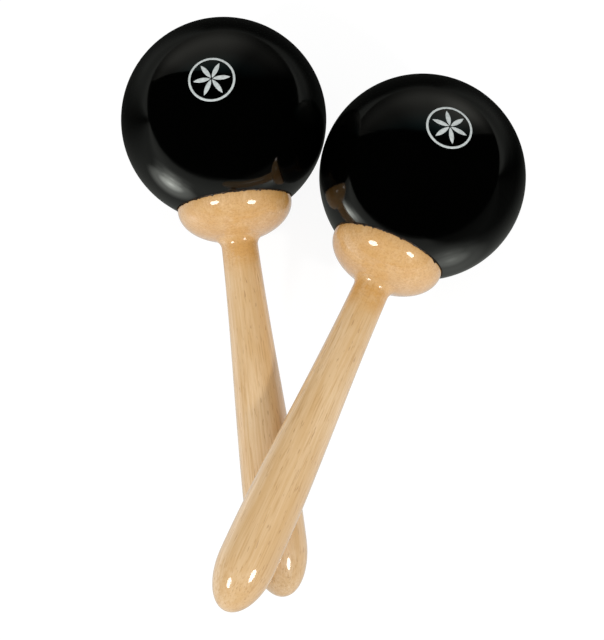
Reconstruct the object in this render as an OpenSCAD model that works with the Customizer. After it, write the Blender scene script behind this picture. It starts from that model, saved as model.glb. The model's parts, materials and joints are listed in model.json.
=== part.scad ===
// A pair of maracas, one lying across the other.
// Each one is a sealed hollow ball of loose shot, glued into the cup of a turned wooden handle.
// A maraca is drawn with its ball's centre at the origin and its handle along +Z, then laid down.

/* [Shell] */
// Outer radius of each ball
ball_r = 51; // [44:0.5:56]
// Wall of the two moulded shell halves
shell_wall = 2.6; // [2:0.1:4]
// Length of the lap where the shell halves are glued together
lap_len = 3; // [2:0.5:5]

/* [Handle] */
// Length of a whole maraca, from the ball's crown to the handle's end
overall_len = 290; // [260:1:320]
// Angle from the handle's axis to the cup's rim, seen from the ball's centre
cup_angle = 33.7; // [30:0.1:36]
// Height of the cup's straight lip
cup_lip = 1.6; // [0.5:0.1:3]
// Height of the cup's rounded back, from the lip to where it would meet the axis
cup_back = 17.8; // [15:0.1:22]
// Radius of the fillet between the cup and the neck
fillet_r = 5; // [3:0.5:7]
// Diameter of the neck, the handle's thinnest place
neck_d = 18; // [16:0.5:21]
// Slope of the neck where it leaves the fillet
neck_slope = 0.8; // [0:0.1:2]
// Diameter of the grip at its thickest
grip_d = 28.5; // [24:0.5:32]
// Length of the grip's rounded end
end_len = 26.4; // [18:0.2:32]

/* [Dowel] */
// Diameter of the dowel that pins the ball to its handle
dowel_d = 10; // [8:0.5:11]
// Length of the dowel
dowel_len = 32; // [24:1:36]

/* [Shot] */
// Diameter of one steel ball
shot_d = 5; // [4:0.1:6]
// Rings of steel balls round the middle one in the layer on the shell
outer_rings = 3; // [2:1:3]
// Rings round the middle one in the layer above
inner_rings = 2; // [1:1:2]

/* [Emblem] */
// Diameter of the printed emblem
emblem_d = 23; // [18:0.5:25]
// Width of the emblem's ring
emblem_ring = 1.1; // [0.6:0.1:2]
// Angle from the left ball's crown to the middle of its emblem
left_emblem_angle = 79.5; // [60:0.5:80]
// Angle from the right ball's crown to the middle of its emblem
right_emblem_angle = 76.5; // [60:0.5:80]
// Roll of the left emblem away from the top, towards +X
left_roll = -5.5; // [-20:0.5:20]
// Roll of the right emblem away from the top, towards +X
right_roll = 9.5; // [-20:0.5:20]

/* [Arrangement] */
// Gap between the two balls
ball_gap = 1; // [0.5:0.1:8]
// Turn of the line between the two balls from X
pair_turn = 17.3; // [10:0.1:20]
// Turn of the left handle from -Y, towards +X
left_turn = 7.4; // [5:0.1:10]
// Turn of the right handle from -Y, towards +X
right_turn = -23.7; // [-28:0.1:-20]

/* [Hidden] */
$fn = 96;

glue_gap = 0.1;         // glue line between two wooden or moulded faces
seam_gap = 0.05;        // visible joint between the shell halves
rest_gap = 0.3;         // between pieces that only touch
print_t = 0.12;         // thickness of the printed emblem
print_gap = 0.02;       // its adhesive
big = 4 * ball_r;       // cutting blocks
petal_start = 0.5;      // from the emblem's middle to each petal's tip
petal_len = emblem_d / 2 - 2.2 * emblem_ring - petal_start;
petal_side = petal_len * sin(60);

inner_r = ball_r - shell_wall;
mid_r = ball_r - shell_wall / 2;
cup_r = ball_r * sin(cup_angle);
rim_z = ball_r * cos(cup_angle);
lip_z = rim_z + cup_lip;
neck_r = neck_d / 2;
grip_r = grip_d / 2;
end_z = overall_len - ball_r;
grip_z = end_z - end_len;
dowel_z = sqrt(pow(inner_r, 2) - pow(dowel_d / 2, 2)) + 0.2;

// Where a rising function crosses zero, by halving the interval.
function root(f, low, high, steps = 40) =
    let (mid = (low + high) / 2)
    steps == 0 ? mid : f(mid) > 0 ? root(f, low, mid, steps - 1) : root(f, mid, high, steps - 1);

// The cup's back is a quarter ellipse, and the fillet's centre stands off it along its normal.
function back_point(a) = [cup_r * cos(a), lip_z + cup_back * sin(a)];
function back_normal(a) = let (n = [cos(a) / cup_r, sin(a) / cup_back]) n / norm(n);
function fillet_centre(a) = back_point(a) + fillet_r * back_normal(a);
back_end = root(function(a) neck_r + fillet_r - fillet_centre(a)[0], 0, 90);
neck_z = fillet_centre(back_end)[1];
fillet_start = atan2(back_normal(back_end)[1], back_normal(back_end)[0]);

// The neck swells to the grip along one smooth cubic, level at the grip's thickest place.
function taper_r(z) =
    let (t = (z - neck_z) / (grip_z - neck_z), rise = tan(neck_slope) * (grip_z - neck_z))
    neck_r * (1 + t * t * (2 * t - 3)) + rise * t * (1 - t) * (1 - t) + grip_r * t * t * (3 - 2 * t);

handle_outline = concat(
    [[0, rim_z], [cup_r, rim_z]],
    [for (i = [0:24]) back_point(back_end * i / 24)],
    [for (i = [1:12]) let (a = 180 + fillet_start * (1 - i / 12))
        fillet_centre(back_end) + fillet_r * [cos(a), sin(a)]],
    [for (i = [1:32]) let (z = neck_z + (grip_z - neck_z) * i / 32) [taper_r(z), z]],
    [for (i = [1:24]) [grip_r * cos(90 * i / 24), grip_z + end_len * sin(90 * i / 24)]]
);

// A handle's direction, for its turn and its pitch above level.
function along(turn, pitch) = [sin(turn) * cos(pitch), -cos(turn) * cos(pitch), sin(pitch)];
// How far the handle's end reaches from the middle of the grip's thickest place, along an axis.
function end_reach(cosine) = sqrt(pow(end_len * cosine, 2) + pow(grip_r, 2) * (1 - cosine * cosine));

// The left handle's end lies on the table, as its ball does.
left_pitch = root(function(p) ball_r + grip_z * sin(p) - end_reach(sin(p)), -30, 0);

// The right handle lies across the left one.
centre_step = (2 * ball_r + ball_gap) * [cos(pair_turn), -sin(pair_turn), 0];
function crossing_gap(l, r) =
    let (n = cross(r, l), k = l * r, wl = -centre_step * l, wr = -centre_step * r, d = 1 - k * k)
    centre_step * n / norm(n) - taper_r((k * wr - wl) / d) - taper_r((wr - k * wl) / d);
left_dir = along(left_turn, left_pitch);
right_pitch = root(function(p) crossing_gap(left_dir, along(right_turn, p)) - rest_gap, -6, 12);
right_dir = along(right_turn, right_pitch);

// The origin is under the middle of the pair's box.
front_y = min(
    centre_step[1] / 2 + grip_z * right_dir[1] - end_reach(right_dir[1]),
    -centre_step[1] / 2 + grip_z * left_dir[1] - end_reach(left_dir[1])
);
back_y = -centre_step[1] / 2 + ball_r;
pair_centre = [0, -(front_y + back_y) / 2, ball_r];
left_ball = pair_centre - centre_step / 2;
right_ball = pair_centre + centre_step / 2;

module laid(ball, turn, pitch) {
    translate(ball) rotate([90 - pitch, 0, turn]) children();
}

module lay_left() {
    laid(left_ball, left_turn, left_pitch) children();
}

module lay_right() {
    laid(right_ball, right_turn, right_pitch) children();
}

// Everything above the plane at this height.
module above(z) {
    translate([-big / 2, -big / 2, z]) cube(big);
}

module shell_crown() {
    color("#171917") difference() {
        sphere(ball_r);
        sphere(inner_r);
        above(lap_len);
        intersection() {
            sphere(mid_r);
            above(0);
        }
    }
}

module shell_base() {
    color("#171917") difference() {
        union() {
            intersection() {
                sphere(ball_r);
                above(lap_len + seam_gap);
            }
            intersection() {
                sphere(mid_r - glue_gap);
                above(seam_gap);
            }
        }
        sphere(inner_r);
        cylinder(d = dowel_d + 2 * glue_gap, h = big);
    }
}

module handle() {
    color("#deb887") difference() {
        rotate_extrude() polygon(handle_outline);
        sphere(ball_r + glue_gap);
        cylinder(d = dowel_d + 2 * glue_gap, h = dowel_z + dowel_len + 1);
    }
}

module dowel() {
    color("#e6cfa0") translate([0, 0, dowel_z]) cylinder(d = dowel_d, h = dowel_len);
}

// One layer of balls lies at the ball's lowest place, whichever way its handle points.
module shot_layer(layer_r, rings) {
    step = 2 * asin((shot_d + rest_gap) / 2 / layer_r);
    color("#8f9499") for (ring = [0:rings]) for (i = [0:max(0, 6 * ring - 1)]) {
        spin = ring == 0 ? 0 : 360 * i / (6 * ring);
        rotate([0, 180 - ring * step, spin]) translate([0, 0, layer_r]) sphere(d = shot_d, $fn = 32);
    }
}

module outer_shot() {
    shot_layer(inner_r - rest_gap - shot_d / 2, outer_rings);
}

module inner_shot() {
    shot_layer(inner_r - 2 * rest_gap - 3 * shot_d / 2, inner_rings);
}

// The emblem's ring and the petals of its compass flower, standing as blocks on the ball's centre.
module emblem_block() {
    difference() {
        cylinder(d = emblem_d, h = big);
        cylinder(d = emblem_d - 2 * emblem_ring, h = big);
    }
    for (i = [0:5]) rotate([0, 0, 60 * i]) translate([petal_start, 0, 0]) petal_block();
}

module petal_block() {
    intersection() {
        translate([petal_len / 2, petal_side, 0]) cylinder(r = petal_len, h = big);
        translate([petal_len / 2, -petal_side, 0]) cylinder(r = petal_len, h = big);
    }
}

module emblem(angle, roll) {
    color("white") rotate([0, 0, -roll]) rotate([angle - 180, 0, 0]) difference() {
        intersection() {
            emblem_block();
            rotate([90, 0, 0]) sphere(ball_r + print_gap + print_t);
        }
        rotate([90, 0, 0]) sphere(ball_r + print_gap);
    }
}

lay_left() shell_crown();  // left_shell_crown
lay_left() shell_base();  // left_shell_base
lay_left() handle();  // left_handle
lay_left() dowel();  // left_dowel
translate(left_ball) outer_shot();  // left_outer_shot
translate(left_ball) inner_shot();  // left_inner_shot
lay_left() emblem(left_emblem_angle, left_roll);  // left_emblem
lay_right() shell_crown();  // right_shell_crown
lay_right() shell_base();  // right_shell_base
lay_right() handle();  // right_handle
lay_right() dowel();  // right_dowel
translate(right_ball) outer_shot();  // right_outer_shot
translate(right_ball) inner_shot();  // right_inner_shot
lay_right() emblem(right_emblem_angle, right_roll);  // right_emblem
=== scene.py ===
import json
import math

import bmesh
import bpy
from mathutils import Matrix, Vector, noise


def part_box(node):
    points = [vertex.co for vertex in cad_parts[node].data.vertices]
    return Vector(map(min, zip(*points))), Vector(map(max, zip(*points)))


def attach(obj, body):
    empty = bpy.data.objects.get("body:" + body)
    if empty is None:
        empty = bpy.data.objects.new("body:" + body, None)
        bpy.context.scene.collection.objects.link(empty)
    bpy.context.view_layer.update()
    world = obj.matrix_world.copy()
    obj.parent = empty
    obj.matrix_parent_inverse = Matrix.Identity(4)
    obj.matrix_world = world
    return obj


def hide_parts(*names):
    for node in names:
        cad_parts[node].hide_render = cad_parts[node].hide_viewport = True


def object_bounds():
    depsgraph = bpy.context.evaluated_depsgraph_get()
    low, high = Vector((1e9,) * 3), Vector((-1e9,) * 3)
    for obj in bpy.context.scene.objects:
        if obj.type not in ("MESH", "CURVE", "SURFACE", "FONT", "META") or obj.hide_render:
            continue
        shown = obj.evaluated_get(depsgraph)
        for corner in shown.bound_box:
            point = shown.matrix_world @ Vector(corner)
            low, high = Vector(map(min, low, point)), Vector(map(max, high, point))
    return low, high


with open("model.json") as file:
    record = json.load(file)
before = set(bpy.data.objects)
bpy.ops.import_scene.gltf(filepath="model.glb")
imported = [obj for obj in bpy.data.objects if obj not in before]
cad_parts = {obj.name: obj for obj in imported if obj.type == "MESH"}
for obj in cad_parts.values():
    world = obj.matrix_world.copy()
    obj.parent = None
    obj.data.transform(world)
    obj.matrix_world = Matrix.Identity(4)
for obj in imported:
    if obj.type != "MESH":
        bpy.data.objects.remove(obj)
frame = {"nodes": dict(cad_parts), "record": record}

# A pair of maracas: hollow black balls in turned wooden handles, the right one lying over the left.
# Each maraca is built with its ball's centre at the origin and its handle along +Z, then laid in
# the place that the frame gives it. Lengths are in metres.

cad_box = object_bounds()
MM = 0.001
UP = Vector((0, 0, 1))

# Fine dimensions that only the looks need
TURNS = 192                 # steps round every turned or moulded surface
SHELL_STEPS = 72            # steps along a shell half, from its seam to its pole or its dowel hole
SHELL_WALL = 2.6 * MM
SEAM_RISE = 3 * MM          # from the ball's middle to its seam, towards the handle
SEAM_GAP = 0.04 * MM        # between the two shell edges at their seam
SEAM_NICK = 0.05 / 3 * MM   # how much each of those edges is broken
DOWEL_HOLE_R = 5.1 * MM     # hole in the ball for the dowel
CREASE = math.radians(40)   # a shell's edge sharper than this stays crisp
CUP_STEPS = 40              # steps from the middle of the cup's hollow to its rim
CUP_GAP = 0.1 * MM          # between the cup's hollow and the ball
LIP_ROUND = 0.4 * MM        # rounding of the cup's rim
OUTLINE_CLEAR = 0.15 * MM   # a point of the handle's outside is at least this far off the ball
OUTLINE_STEP = 0.02 * MM    # and this far along from the point before it
RIM_BEAD_RADIUS = 0.34 * MM       # radius of the dark bead round the rim: the ball's ragged black edge, with painted shade in the crease
RIM_BEAD_DROP = 0.05 * MM       # from the rim's corner on the ball to the bead's middle
RIM_BEAD_BULGE = 0.06 * MM      # how far the bead's upper side is pushed outwards
RIM_BEAD_WAVES = 14             # unevenness of the bead, in noise cells for each radian
PETALS = 6
EMBLEM_R = 11.5 * MM
EMBLEM_RING = 1.1 * MM      # width of the printed ring
EMBLEM_LIFT = 0.14 * MM     # top of the print above the ball
EMBLEM_THICK = 0.11 * MM
PETAL_START = 0.5 * MM      # from the emblem's middle to each petal
PETAL_LEN = EMBLEM_R - 2.2 * EMBLEM_RING - PETAL_START

# What makes the two maracas differ, in degrees for the emblems
EMBLEM_TILT = {"left": 79.5, "right": 76.5}     # from the ball's crown
EMBLEM_ROLL = {"left": -5.5, "right": 9.5}      # away from the top, towards +X
STAINED_SIDE = {"left": 1, "right": -1}         # side of the cup with the golden stain, along its own X
GRAIN_SEED = {"left": 1, "right": 2}

# ---------------------------------------------------------------- studio

AMBIENT = 0.63              # brightness of the surroundings
STAGE_HALF = 4.0            # half the width of the floor
FLOOR_DEPTH = 0.2 * MM      # from the part's lowest point down to the floor
REFLECTED_DEPTH = 0.10 * MM     # down to the table that the balls show
PALE_DEPTH = 0.15 * MM          # down to the table that the handles show
FLOOR_GLOW = 0.92           # the floor's own brightness, which keeps its shadows faint
WALL_Y = 1.0                # where the tables end and the left ball's wall stands
WALL_GAP = 10 * MM          # from there back to the right ball's wall
LEFT_FLASH = (-0.619, -0.368, 0.688)            # directions from the frame's origin
RIGHT_FLASH = (0.577, -0.514, 0.632)
FLASH_DISTANCE = 1.3
FLASH_SIZE = 0.12
FLASH_POWER = 5.3
SHINE_DISTANCE = FLASH_DISTANCE - 10 * MM       # in front of the small lamp, which would darken it
SHINE_SIZE = 0.38
SHINE_POWER = 6.0

# Pools of flash light on the table, as (x, y, brightness, reach)
FLASH_POOLS = [(-0.150, -0.012, 7.0, 0.062), (-0.182, -0.045, 3.8, 0.070), (-0.232, -0.090, 1.7, 0.100),
               (0.090, -0.036, 1.5, 0.060), (0.102, -0.080, 0.9, 0.075), (0.125, -0.140, 0.2, 0.100)]

# Brightness of the tables and the walls that the gloss shows, as (place in metres, brightness):
# the balls' table along Y and away from X = 0, the handles' table along Y, both walls up Z and along X
# The balls' table goes dark close behind the balls and between them: the maracas' painted shadow
TABLE_FRONT = [(-1.3, 0.05), (-0.35, 0.36), (-0.10, 0.42), (0.02, 0.20), (0.13, 0.015)]
TABLE_SIDES = [(0.08, 0.0), (0.24, 0.12), (0.9, 0.26)]
PALE_TABLE = [(-0.6, 0.7), (0.1, 0.6), (1.0, 0.1)]
WALL_RISE = [(0.0, 0.13), (0.36, 0.42), (0.70, 0.32), (1.9, 0.05)]
LEFT_WALL = [(-1.3, 0.4), (-0.7, 1.0), (-0.1, 1.0), (0.45, 0.25), (1.5, 0.0)]
RIGHT_WALL = [(-1.3, 0.2), (-0.5, 0.35), (0.1, 0.9), (0.6, 1.6), (1.4, 0.3)]

# The walls' outline, as (x, height)
WALL_OUTLINE = [(-1.6, 0), (1.5, 0), (1.5, 1.3), (0.5, 2.0), (-0.4, 1.5), (-1.05, 0.96), (-1.6, 0.2)]

# ---------------------------------------------------------------- camera, at the photograph's view

CAMERA_TARGET = Vector((-10.3, 1.2, 30.6)) * MM
CAMERA_DISTANCE = 1.707
CAMERA_ELEVATION = math.radians(70.36)
CAMERA_LENS = 194.9         # millimetres, as is the sensor's width
CAMERA_SENSOR = 36


def add_camera():
    camera = bpy.data.objects.new("camera", bpy.data.cameras.new("camera"))
    bpy.context.scene.collection.objects.link(camera)
    towards = Vector((0, -math.cos(CAMERA_ELEVATION), math.sin(CAMERA_ELEVATION)))
    camera.location = CAMERA_TARGET + towards * CAMERA_DISTANCE
    camera.rotation_euler = towards.to_track_quat("Z", "Y").to_euler()
    camera.data.lens = CAMERA_LENS
    camera.data.sensor_width = CAMERA_SENSOR
    bpy.context.scene.camera = camera


# ---------------------------------------------------------------- node helpers


class Nodes:
    """A short way to write a material's or world's node tree."""

    def __init__(self, tree):
        self.tree = tree
        tree.nodes.clear()

    def add(self, kind, **settings):
        node = self.tree.nodes.new(kind)
        for name, value in settings.items():
            setattr(node, name, value)
        return node

    def link(self, source, node, socket):
        self.tree.links.new(source, node.inputs[socket])

    def noise(self, vector, scale, detail=2.0, rough=0.5, distortion=0.0):
        node = self.add("ShaderNodeTexNoise")
        self.link(vector, node, "Vector")
        node.inputs["Scale"].default_value = scale
        node.inputs["Detail"].default_value = detail
        node.inputs["Roughness"].default_value = rough
        node.inputs["Distortion"].default_value = distortion
        return node.outputs["Fac"]

    def scaled(self, vector, scale, offset=(0, 0, 0)):
        node = self.add("ShaderNodeMapping")
        self.link(vector, node, "Vector")
        node.inputs["Scale"].default_value = scale
        node.inputs["Location"].default_value = offset
        return node.outputs["Vector"]

    def ramp(self, value, low, high, low_value=0.0, high_value=1.0):
        node = self.add("ShaderNodeMapRange")
        node.interpolation_type = "SMOOTHSTEP"
        self.link(value, node, "Value")
        node.inputs["From Min"].default_value = low
        node.inputs["From Max"].default_value = high
        node.inputs["To Min"].default_value = low_value
        node.inputs["To Max"].default_value = high_value
        return node.outputs["Result"]

    def math(self, operation, a, b=0.0):
        node = self.add("ShaderNodeMath", operation=operation)
        for socket, value in enumerate((a, b)):
            if isinstance(value, (int, float)):
                node.inputs[socket].default_value = value
            else:
                self.link(value, node, socket)
        return node.outputs[0]

    def profile(self, value, stops):
        """A smooth curve through (value, level) stops, level before the first and after the last."""
        low, high, top = stops[0][0], stops[-1][0], max(level for _, level in stops)
        place = self.add("ShaderNodeMapRange")
        self.link(value, place, "Value")
        place.inputs["From Min"].default_value = low
        place.inputs["From Max"].default_value = high
        curve = self.add("ShaderNodeValToRGB")
        curve.color_ramp.interpolation = "EASE"
        self.link(place.outputs["Result"], curve, "Fac")
        elements = curve.color_ramp.elements
        while len(elements) < len(stops):
            elements.new(0.5)
        for element, (position, level) in zip(elements, stops):
            element.position = (position - low) / (high - low)
            element.color = (level / top, level / top, level / top, 1)
        return self.math("MULTIPLY", curve.outputs["Color"], top)

    def mix(self, factor, a, b):
        node = self.add("ShaderNodeMix", data_type="RGBA")
        for socket, value in ((0, factor), (6, a), (7, b)):
            if isinstance(value, (int, float)):
                node.inputs[socket].default_value = value
            elif isinstance(value, tuple):
                node.inputs[socket].default_value = (*value, 1)
            else:
                self.link(value, node, socket)
        return node.outputs[2]

    def bump(self, height, strength, distance):
        node = self.add("ShaderNodeBump")
        self.link(height, node, "Height")
        node.inputs["Strength"].default_value = strength
        node.inputs["Distance"].default_value = distance
        return node.outputs["Normal"]

    def principled(self, **values):
        shader = self.add("ShaderNodeBsdfPrincipled")
        for name, value in values.items():
            shader.inputs[name.replace("_", " ")].default_value = value
        output = self.add("ShaderNodeOutputMaterial")
        self.link(shader.outputs[0], output, "Surface")
        return shader


def new_material(name):
    material = bpy.data.materials.new(name)
    material.use_nodes = True
    return material, Nodes(material.node_tree)


# ---------------------------------------------------------------- materials

LIGHT_WOOD = (0.81, 0.585, 0.345)
MIDDLE_WOOD = (0.71, 0.48, 0.25)
GOLDEN_WOOD = (0.62, 0.37, 0.14)
STREAK_WOOD = (0.50, 0.27, 0.085)
PORE_WOOD = (0.34, 0.15, 0.04)
STAIN_WOOD = (0.58, 0.27, 0.02)
CUP_WOOD = (0.72, 0.395, 0.12)
SPECKLE_WOOD = (0.52, 0.25, 0.065)
DOWEL_LIGHT = (0.70, 0.50, 0.29)
DOWEL_DARK = (0.56, 0.36, 0.18)
PRINT_LIGHT = (0.60, 0.64, 0.63)
PRINT_DARK = (0.47, 0.51, 0.50)
# The bead at the cup's rim: black for the ball's ragged edge, brown for painted shade in the crease between
# rim and ball
RIM_EDGE_BLACK = (0.012, 0.009, 0.006)
RIM_SHADE_BROWN = (0.05, 0.026, 0.012)
WALL_LOW = (1.0, 1.0, 0.90)
WALL_HIGH = (0.50, 0.95, 1.0)
TABLE_TINT = (0.96, 1, 0.92)

# Where the wood changes, as heights along the handle from the ball's centre
CUP_END = 66 * MM
NECK_START = 84 * MM
NECK_STAIN = [(54 * MM, 0.0), (67 * MM, 0.65), (80 * MM, 0.10), (115 * MM, 0.0)]


def black_gloss():
    """Polished black moulded plastic, with a faint orange peel and finger haze."""
    material, n = new_material("black_gloss")
    place = n.add("ShaderNodeTexCoord").outputs["Object"]
    shader = n.principled(Base_Color=(0.0006, 0.0007, 0.0006, 1), IOR=1.46)
    haze = n.noise(place, 28, detail=4, rough=0.6)
    n.link(n.ramp(haze, 0.35, 0.75, 0.055, 0.14), shader, "Roughness")
    peel = n.noise(place, 420, detail=1)
    n.link(n.bump(peel, 0.08, 0.1 * MM), shader, "Normal")
    return material


def lacquered_wood(name, stained_side, seed):
    """Pale, straight-grained hardwood under thick clear lacquer, with the grain along the handle.

    The cup cuts across the grain, so it is speckled. It is golden near the neck and on one side."""
    material, n = new_material(name)
    own_place = n.add("ShaderNodeAttribute", attribute_name="own_place").outputs["Vector"]
    split = n.add("ShaderNodeSeparateXYZ")
    n.link(own_place, split, "Vector")
    height = split.outputs["Z"]
    place = n.scaled(own_place, (1, 1, 1), (seed * 0.37, seed * 0.21, seed * 0.53))
    drift = n.noise(n.scaled(place, (30, 30, 9)), 1.0, detail=2)
    broad = n.noise(n.scaled(place, (130, 130, 12)), 1.0, detail=3, distortion=0.3)
    fibre = n.noise(n.scaled(place, (1000, 1000, 20)), 1.0, detail=4, rough=0.62)
    streak = n.noise(n.scaled(place, (1100, 1100, 22)), 1.0, detail=3, rough=0.55)
    pore = n.noise(n.scaled(place, (1300, 1300, 170)), 1.0, detail=1)
    speckle = n.noise(n.scaled(place, (800, 800, 1200)), 1.0, detail=4, rough=0.75)
    stain = n.noise(place, 70, detail=6, rough=0.75)

    tone = n.mix(n.ramp(drift, 0.35, 0.65), LIGHT_WOOD, MIDDLE_WOOD)
    tone = n.mix(n.ramp(broad, 0.42, 0.62, 0.0, 0.48), tone, GOLDEN_WOOD)
    tone = n.mix(n.ramp(fibre, 0.42, 0.62, 0.0, 0.45), tone, GOLDEN_WOOD)
    tone = n.mix(n.ramp(streak, 0.54, 0.68, 0.0, 0.50), tone, STREAK_WOOD)
    tone = n.mix(n.ramp(pore, 0.66, 0.73, 0.0, 0.48), tone, PORE_WOOD)

    cup = n.ramp(height, CUP_END, NECK_START, 1.0, 0.0)
    neck = n.profile(height, NECK_STAIN)
    side = n.ramp(n.math("MULTIPLY", split.outputs["X"], stained_side), 2 * MM, 34 * MM, 0.0, 0.95)
    golden = n.math("MAXIMUM", neck, n.math("MULTIPLY", n.math("MAXIMUM", side, 0.3), cup))
    tone = n.mix(n.math("MULTIPLY", golden, n.ramp(stain, 0.43, 0.57, 0.04, 1.0)), tone, STAIN_WOOD)
    tone = n.mix(n.math("MULTIPLY", cup, 0.4), tone, CUP_WOOD)
    tone = n.mix(n.math("MULTIPLY", cup, n.ramp(speckle, 0.44, 0.64, 0.0, 0.50)), tone, SPECKLE_WOOD)

    shader = n.principled(IOR=1.5, Coat_Weight=1.0, Coat_Roughness=0.03, Coat_IOR=1.52)
    n.link(tone, shader, "Base Color")
    n.link(n.ramp(fibre, 0.3, 0.7, 0.42, 0.6), shader, "Roughness")
    n.link(n.bump(fibre, 0.25, 0.05 * MM), shader, "Normal")
    flow = n.noise(n.scaled(place, (150, 150, 60)), 1.0, detail=2)
    ripple = n.noise(place, 620, detail=1)
    relief = n.math("ADD", flow, n.math("MULTIPLY", ripple, 0.09))
    n.link(n.bump(relief, 0.4, 0.12 * MM), shader, "Coat Normal")
    return material


def plain_wood():
    """Unfinished dowel wood."""
    material, n = new_material("plain_wood")
    place = n.add("ShaderNodeTexCoord").outputs["Object"]
    fibre = n.noise(n.scaled(place, (900, 90, 900)), 1.0, detail=4)
    shader = n.principled(Roughness=0.7)
    n.link(n.mix(n.ramp(fibre, 0.35, 0.65), DOWEL_LIGHT, DOWEL_DARK), shader, "Base Color")
    n.link(n.bump(fibre, 0.4, 0.1 * MM), shader, "Normal")
    return material


def steel_shot():
    """Small steel balls, dulled by rolling on each other."""
    material, n = new_material("steel_shot")
    place = n.add("ShaderNodeTexCoord").outputs["Object"]
    wear = n.noise(place, 900, detail=3)
    shader = n.principled(Base_Color=(0.42, 0.43, 0.45, 1), Metallic=1.0)
    n.link(n.ramp(wear, 0.3, 0.7, 0.18, 0.42), shader, "Roughness")
    n.link(n.bump(wear, 0.15, 0.05 * MM), shader, "Normal")
    return material


def white_print():
    """White ink, slightly uneven where it was pressed on."""
    material, n = new_material("white_print")
    place = n.add("ShaderNodeTexCoord").outputs["Object"]
    patch = n.noise(place, 700, detail=3)
    shader = n.principled(Roughness=0.3)
    n.link(n.mix(n.ramp(patch, 0.35, 0.7), PRINT_LIGHT, PRINT_DARK), shader, "Base Color")
    n.link(n.bump(patch, 0.2, 0.03 * MM), shader, "Normal")
    return material


def dark_glue():
    """Brown-black, browner in patches: the ball's ragged black edge, with brown painted shade in the crease
    at the cup's rim.
    """
    material, n = new_material("dark_glue")
    place = n.add("ShaderNodeTexCoord").outputs["Object"]
    patch = n.noise(place, 500, detail=2)
    shader = n.principled(Roughness=0.4)
    n.link(n.mix(n.ramp(patch, 0.4, 0.65), RIM_EDGE_BLACK, RIM_SHADE_BROWN), shader, "Base Color")
    return material


# ---------------------------------------------------------------- mesh helpers


def finish_mesh(name, bm, material, place):
    """Turns a bmesh built in a maraca's own frame into a smooth object laid at its place.

    The points before laying are kept in the mesh as "own_place", for the grain to follow."""
    bmesh.ops.remove_doubles(bm, verts=bm.verts, dist=0.002 * MM)
    bmesh.ops.recalc_face_normals(bm, faces=bm.faces)
    mesh = bpy.data.meshes.new(name)
    bm.to_mesh(mesh)
    bm.free()
    own_place = mesh.attributes.new("own_place", "FLOAT_VECTOR", "POINT")
    for vertex, kept in zip(mesh.vertices, own_place.data):
        kept.vector = vertex.co
    mesh.transform(place)
    mesh.shade_smooth()
    mesh.materials.append(material)
    piece = bpy.data.objects.new(name, mesh)
    bpy.context.scene.collection.objects.link(piece)
    return piece


def turned(outline, wobble=None):
    """A closed or pole-to-pole outline of (radius, height) points, swept once round Z."""
    bm = bmesh.new()
    rings = []
    for radius, height in outline:
        ring = []
        for turn in range(TURNS):
            angle = 2 * math.pi * turn / TURNS
            point = Vector((radius * math.cos(angle), radius * math.sin(angle), height))
            ring.append(bm.verts.new(point + wobble(point) if wobble else point))
        rings.append(ring)
    for low, high in zip(rings, rings[1:]):
        for turn in range(TURNS):
            after = (turn + 1) % TURNS
            bm.faces.new((low[turn], low[after], high[after], high[turn]))
    return bm


def arc(centre, radius, start, end, steps):
    """Points on an arc in the (radius, height) plane, with angles measured from the radius axis."""
    angles = [start + (end - start) * i / steps for i in range(steps + 1)]
    return [(centre[0] + radius * math.cos(a), centre[1] + radius * math.sin(a)) for a in angles]


# ---------------------------------------------------------------- pieces of one maraca


class Place:
    """Where the frame holds one maraca: its ball's centre and radius and its handle's outline."""

    def __init__(self, side):
        corners = [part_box(f"{side}_shell_{half}") for half in ("crown", "base")]
        low = Vector([min(c[0][i] for c in corners) for i in range(3)])
        high = Vector([max(c[1][i] for c in corners) for i in range(3)])
        self.ball_r = (high.z - low.z) / 2
        self.centre = (low + high) / 2
        mounts = {m["name"]: m for m in frame["record"]["mounts"]}
        self.axis = Vector(mounts[f"{side}_grip"]["axis"]).normalized()
        level = (UP - self.axis * UP.dot(self.axis)).normalized()
        turn = Matrix((level.cross(self.axis), level, self.axis)).transposed().to_4x4()
        self.matrix = Matrix.Translation(self.centre) @ turn
        self.outline = self.handle_outline(frame["nodes"][f"{side}_handle"])

    def handle_outline(self, node):
        """The handle's outer (radius, height) points, from its rim to its end, read off the CAD mesh."""
        outer = {}
        for vertex in node.data.vertices:
            step = vertex.co - self.centre
            height = step.dot(self.axis)
            sideways = step - self.axis * height
            inside = vertex.normal.dot(sideways.normalized()) < -0.1 or vertex.normal.dot(self.axis) < -0.5
            if not inside:
                key = round(height / MM, 2)
                outer[key] = max(sideways.length, outer.get(key, 0))
        rim = min(key for key in outer if outer[key] > self.ball_r * 0.55)
        points = [(outer[key], key * MM) for key in sorted(outer) if key >= rim]
        clean = points[:1]
        for radius, height in points[1:]:
            outside = math.hypot(radius, height) > self.ball_r + OUTLINE_CLEAR
            if outside and height - clean[-1][1] > OUTLINE_STEP:
                clean.append((radius, height))
        return clean


def shell_piece(place, side, half, material):
    """One moulded half of the ball, a closed skin with its edge broken at the seam."""
    outer, inner = place.ball_r, place.ball_r - SHELL_WALL
    seam = SEAM_RISE / outer
    if half == "crown":
        skin = arc((0, 0), outer, -math.pi / 2, seam, SHELL_STEPS)
        lining = arc((0, 0), inner, seam, -math.pi / 2, SHELL_STEPS)
        outline = skin[:-1] + [(skin[-1][0] - SEAM_NICK, skin[-1][1] - SEAM_NICK)] + lining
    else:
        seam += SEAM_GAP / outer
        skin = arc((0, 0), outer, seam, math.acos(DOWEL_HOLE_R / outer), SHELL_STEPS)
        lining = arc((0, 0), inner, math.acos(DOWEL_HOLE_R / inner), seam, SHELL_STEPS)
        outline = [(skin[0][0] - SEAM_NICK, skin[0][1] + SEAM_NICK)] + skin[1:] + lining
        outline.append(outline[0])
    piece = finish_mesh(f"{side}_ball_{half}", turned(outline), material, place.matrix)
    sharpen(piece)
    return piece


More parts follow.
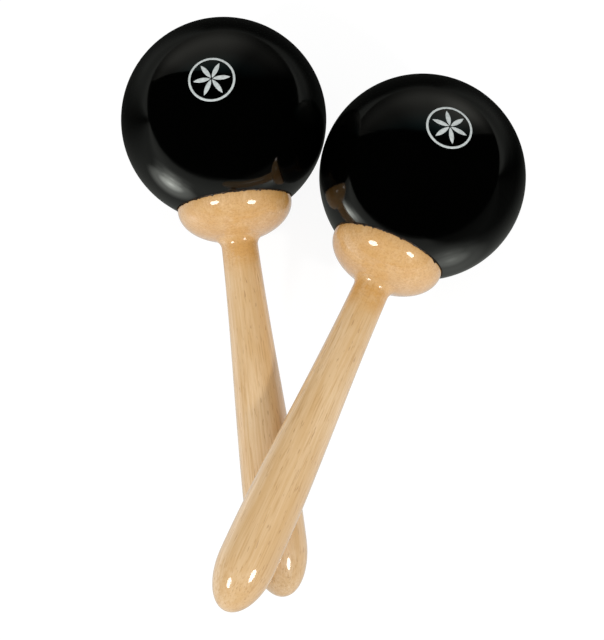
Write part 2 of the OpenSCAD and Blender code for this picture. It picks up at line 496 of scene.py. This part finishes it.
def sharpen(piece):
    """Keeps an edge crisp where two surfaces meet sharply."""
    bm = bmesh.new()
    bm.from_mesh(piece.data)
    for edge in bm.edges:
        if len(edge.link_faces) == 2 and edge.calc_face_angle(0) > CREASE:
            edge.smooth = False
    bm.to_mesh(piece.data)
    bm.free()


def handle_piece(place, side, material):
    """The turned handle, with its cup's hollow, a rounded lip and the outline that the frame gives."""
    seat = place.ball_r + CUP_GAP
    lip_r = place.outline[0][0]
    lip_angle = math.acos(lip_r / seat)
    hollow_end = math.acos((lip_r - 1.2 * LIP_ROUND) / seat)
    hollow = arc((0, 0), seat, math.pi / 2, hollow_end, CUP_STEPS)
    tip = (lip_r - 0.35 * LIP_ROUND, seat * math.sin(lip_angle) + 0.15 * LIP_ROUND)
    outline = hollow + [tip, (lip_r, tip[1] + LIP_ROUND)]
    outline += [p for p in place.outline if p[1] > tip[1] + 1.6 * LIP_ROUND]
    outline[-1] = (0, place.outline[-1][1])
    return finish_mesh(f"{side}_turned_handle", turned(outline), material, place.matrix)


def glue_piece(place, side, material, seed):
    """A thin dark bead round the cup's rim, with uneven swells onto the cup and, less, the ball. It is the
    ball's ragged black edge, with painted shade in the crease between rim and ball.
    """
    lip_r = place.outline[0][0]
    angle = math.acos(lip_r / place.ball_r)
    middle = (place.ball_r * math.cos(angle), place.ball_r * math.sin(angle) - RIM_BEAD_DROP)

    def wobble(point):
        turn = math.atan2(point.y, point.x)
        outwards = Vector((math.cos(turn), math.sin(turn), 0))
        where = outwards * RIM_BEAD_WAVES + Vector((0, 0, seed))
        swell = (max(0.0, noise.noise(where * 2.2)) * 1.3 + max(0.0, noise.noise(where)) * 0.7) * MM
        if point.z <= middle[1]:
            return UP * (-0.4 * swell)
        return outwards * RIM_BEAD_BULGE + UP * swell

    ring = arc(middle, RIM_BEAD_RADIUS, 0, 2 * math.pi, 10)
    return finish_mesh(f"{side}_glue_line", turned(ring, wobble), material, place.matrix)


def emblem_piece(place, side, material):
    """A printed ring round a compass flower of six petals, lying on the ball."""
    top = place.ball_r + EMBLEM_LIFT

    def on_ball(x, y):
        return Vector((x, y, math.sqrt(top * top - x * x - y * y)))

    bm = bmesh.new()
    steps, rows = 160, 4
    ring = []
    for row in range(rows + 1):
        r = EMBLEM_R - EMBLEM_RING * row / rows
        angles = [2 * math.pi * i / steps for i in range(steps)]
        ring.append([bm.verts.new(on_ball(r * math.cos(a), r * math.sin(a))) for a in angles])
    for outer, inner in zip(ring, ring[1:]):
        for i in range(steps):
            j = (i + 1) % steps
            bm.faces.new((outer[i], outer[j], inner[j], inner[i]))
    for petal in range(PETALS):
        add_petal(bm, 2 * math.pi * petal / PETALS, on_ball)
    tilt, roll = math.radians(EMBLEM_TILT[side]), math.radians(EMBLEM_ROLL[side])
    aim = Matrix.Rotation(-roll, 4, "Z") @ Matrix.Rotation(tilt - math.pi, 4, "X")
    piece = finish_mesh(f"{side}_print", bm, material, place.matrix @ aim)
    solid = piece.modifiers.new("ink", "SOLIDIFY")
    solid.thickness = EMBLEM_THICK
    solid.offset = -1
    return piece


def add_petal(bm, turn, on_ball, steps=28, rows=6):
    """One petal: the space between two arcs whose radius is the petal's length."""
    grid = []
    for i in range(steps + 1):
        along = PETAL_LEN * i / steps
        half = math.sqrt(PETAL_LEN ** 2 - (along - PETAL_LEN / 2) ** 2) - PETAL_LEN * math.sqrt(3) / 2
        line = []
        for row in range(rows + 1):
            flat = Matrix.Rotation(turn, 2) @ Vector((PETAL_START + along, half * (2 * row / rows - 1)))
            line.append(bm.verts.new(on_ball(flat.x, flat.y)))
        grid.append(line)
    for near, far in zip(grid, grid[1:]):
        for row in range(rows):
            bm.faces.new((near[row], far[row], far[row + 1], near[row + 1]))


def add_maraca(side, materials):
    """Dresses one maraca: new pieces that ride on its body, and materials on what is inside it.

    Gives its two shell halves and its handle, for the light."""
    place = Place(side)
    wood = lacquered_wood(f"lacquered_wood_{side}", STAINED_SIDE[side], GRAIN_SEED[side])
    pieces = [
        (shell_piece(place, side, "crown", materials["black"]), "black_shell", f"{side}_shell_crown"),
        (shell_piece(place, side, "base", materials["black"]), "black_shell", f"{side}_shell_base"),
        (handle_piece(place, side, wood), "lacquered_wood", f"{side}_handle"),
        (emblem_piece(place, side, materials["print"]), "white_print", f"{side}_emblem"),
        (glue_piece(place, side, materials["glue"], GRAIN_SEED[side]), "black_shell", None),
    ]
    for piece, slot, node in pieces:
        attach(piece, f"{side}_maraca")
        if node:
            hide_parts(node)
    for node, material in (("dowel", "dowel"), ("outer_shot", "shot"), ("inner_shot", "shot")):
        cad = frame["nodes"][f"{side}_{node}"]
        cad.data.materials.clear()
        cad.data.materials.append(materials[material])
    crown, base, handle = [piece for piece, slot, node in pieces[:3]]
    return [crown, base], handle


# ---------------------------------------------------------------- stage and light


def add_card(name, corners, shader, seen_by=()):
    """A flat card of the studio. One with seen_by shows only in the gloss of those pieces."""
    bm = bmesh.new()
    bm.faces.new([bm.verts.new(corner) for corner in corners])
    card = finish_mesh(name, bm, shader, Matrix.Identity(4))
    card.visible_transmission = False
    if seen_by:
        card.visible_camera = False
        card.visible_diffuse = False
        card.visible_shadow = False
        card.light_linking.receiver_collection = linked(name + "_seen_by", seen_by, "INCLUDE")
    else:
        card.visible_glossy = False
    return card


def linked(name, pieces, state):
    """A collection that includes pieces in, or excludes them from, a light's or a card's light."""
    collection = bpy.data.collections.new(name)
    for piece in pieces:
        collection.objects.link(piece)
    for entry in collection.collection_objects:
        entry.light_linking.link_state = state
    return collection


def level_corners(depth, back):
    """The corners of a level card, this deep under the part and ending at Y = back."""
    height = cad_box[0][2] - depth
    left, right, front = -STAGE_HALF, STAGE_HALF, -STAGE_HALF
    return [(left, front, height), (right, front, height), (right, back, height), (left, back, height)]


def add_floor():
    """A plain pale floor, just under the lowest point of the part."""
    material, n = new_material("pale_floor")
    n.principled(Base_Color=(0.14, 0.14, 0.14, 1), Roughness=0.9, Specular_IOR_Level=0.0,
                 Emission_Color=(1, 1, 1, 1), Emission_Strength=FLOOR_GLOW)
    add_card("floor", level_corners(FLOOR_DEPTH, STAGE_HALF), material)


def pools(n, place, share):
    """The pools of light that the two flashes leave on the table, each a peak with wide skirts."""
    glow = 0.0
    for x, y, strength, reach in FLASH_POOLS:
        gap = n.add("ShaderNodeVectorMath", operation="DISTANCE")
        n.link(place, gap, 0)
        gap.inputs[1].default_value = (x, y, 0)
        peak = strength * share
        stops = [(0, peak), (0.25 * reach, 0.55 * peak), (0.55 * reach, 0.16 * peak), (reach, 0)]
        glow = n.math("ADD", glow, n.profile(gap.outputs["Value"], stops))
    return glow


def add_reflected_table(shells):
    """The table in the balls: pale in front, with the flash pools, and dim behind at both sides. Its
    darkest stretch, close behind the balls and between them, is the maracas' painted shadow.
    """
    material, n = new_material("reflected_table")
    place = n.add("ShaderNodeTexCoord").outputs["Object"]
    split = n.add("ShaderNodeSeparateXYZ")
    n.link(place, split, "Vector")
    x, y = split.outputs["X"], split.outputs["Y"]
    front = n.math("MULTIPLY", n.profile(y, TABLE_FRONT), n.ramp(x, 0.07, 0.20, 1.0, 0.15))
    behind = n.profile(n.math("ABSOLUTE", x), TABLE_SIDES)
    behind = n.math("MULTIPLY", behind, n.ramp(y, 0.10, 0.26))
    behind = n.math("MAXIMUM", behind, n.ramp(y, 0.35, 1.0, 0.0, 0.10))
    glow = n.math("ADD", n.math("ADD", front, behind), pools(n, place, 1.0))
    add_emission(n, TABLE_TINT, glow)
    add_card("reflected_table", level_corners(REFLECTED_DEPTH, WALL_Y), material, shells)


def add_pale_table(handles):
    """The table as the lacquered handles show it, which gives them their pale edges."""
    material, n = new_material("pale_table")
    place = n.add("ShaderNodeTexCoord").outputs["Object"]
    split = n.add("ShaderNodeSeparateXYZ")
    n.link(place, split, "Vector")
    glow = n.profile(split.outputs["Y"], PALE_TABLE)
    add_emission(n, (1, 1, 1), n.math("ADD", glow, pools(n, place, 0.25)))
    add_card("pale_table", level_corners(PALE_DEPTH, WALL_Y), material, handles)


def add_reflected_wall(name, y, shells, stops):
    """The studio wall that one ball shows at its top. The stops give its brightness along X."""
    material, n = new_material(name)
    split = n.add("ShaderNodeSeparateXYZ")
    n.link(n.add("ShaderNodeTexCoord").outputs["Object"], split, "Vector")
    hue = n.mix(n.ramp(split.outputs["Z"], 0.5, 1.6), WALL_LOW, WALL_HIGH)
    lit = n.profile(split.outputs["Z"], WALL_RISE)
    add_emission(n, hue, n.math("MULTIPLY", lit, n.profile(split.outputs["X"], stops)))
    add_card(name, [(x, y, z) for x, z in WALL_OUTLINE], material, shells)


def add_emission(n, colour, strength):
    """A glow that lets rays pass, so that a card hides no other card from pieces that don't see it."""
    emission = n.add("ShaderNodeEmission")
    if isinstance(colour, tuple):
        emission.inputs["Color"].default_value = (*colour, 1)
    else:
        n.link(colour, emission, "Color")
    n.link(strength, emission, "Strength")
    both = n.add("ShaderNodeAddShader")
    n.link(emission.outputs[0], both, 0)
    n.link(n.add("ShaderNodeBsdfTransparent").outputs[0], both, 1)
    output = n.add("ShaderNodeOutputMaterial")
    n.link(both.outputs[0], output, "Surface")


def add_flash(name, towards, shells):
    """A flash that looks at the frame's origin: a small lamp that lights, and a wide one for the gloss.

    The balls show neither, because their gloss has its own cards."""
    lamps = (("light", FLASH_SIZE, FLASH_POWER, FLASH_DISTANCE),
             ("shine", SHINE_SIZE, SHINE_POWER, SHINE_DISTANCE))
    for use, size, power, distance in lamps:
        data = bpy.data.lights.new(f"{name}_{use}", "AREA")
        data.shape = "DISK"
        data.size = size
        data.energy = power
        light = bpy.data.objects.new(f"{name}_{use}", data)
        bpy.context.scene.collection.objects.link(light)
        light.visible_glossy = use == "shine"
        light.visible_diffuse = use == "light"
        direction = Vector(towards).normalized()
        light.location = direction * distance
        light.rotation_euler = direction.to_track_quat("Z", "Y").to_euler()
        light.light_linking.receiver_collection = linked(light.name + "_misses", shells, "EXCLUDE")


def add_world():
    """An even pale surrounding. It is white behind the part, and dark in the gloss, which has its cards."""
    world = bpy.data.worlds.new("studio")
    bpy.context.scene.world = world
    world.use_nodes = True
    n = Nodes(world.node_tree)
    path = n.add("ShaderNodeLightPath").outputs
    surface = background(n, AMBIENT)
    for ray, strength in (("Is Glossy Ray", 0.0), ("Is Camera Ray", 1.0)):
        mix = n.add("ShaderNodeMixShader")
        n.link(path[ray], mix, 0)
        n.link(surface, mix, 1)
        n.link(background(n, strength), mix, 2)
        surface = mix.outputs[0]
    output = n.add("ShaderNodeOutputWorld")
    n.link(surface, output, "Surface")


def background(n, strength):
    node = n.add("ShaderNodeBackground")
    node.inputs["Color"].default_value = (1, 1, 1, 1)
    node.inputs["Strength"].default_value = strength
    return node.outputs[0]


# ---------------------------------------------------------------- the scene

bpy.context.scene.view_settings.view_transform = "Standard"
add_camera()
add_world()
add_floor()
shared = {"black": black_gloss(), "print": white_print(), "glue": dark_glue(),
          "dowel": plain_wood(), "shot": steel_shot()}
left_shells, left_handle = add_maraca("left", shared)
right_shells, right_handle = add_maraca("right", shared)
both_shells = left_shells + right_shells
add_reflected_table(both_shells)
add_pale_table([left_handle, right_handle])
add_reflected_wall("left_wall", WALL_Y, left_shells, LEFT_WALL)
add_reflected_wall("right_wall", WALL_Y + WALL_GAP, right_shells, RIGHT_WALL)
add_flash("left_flash", LEFT_FLASH, both_shells)
add_flash("right_flash", RIGHT_FLASH, both_shells)
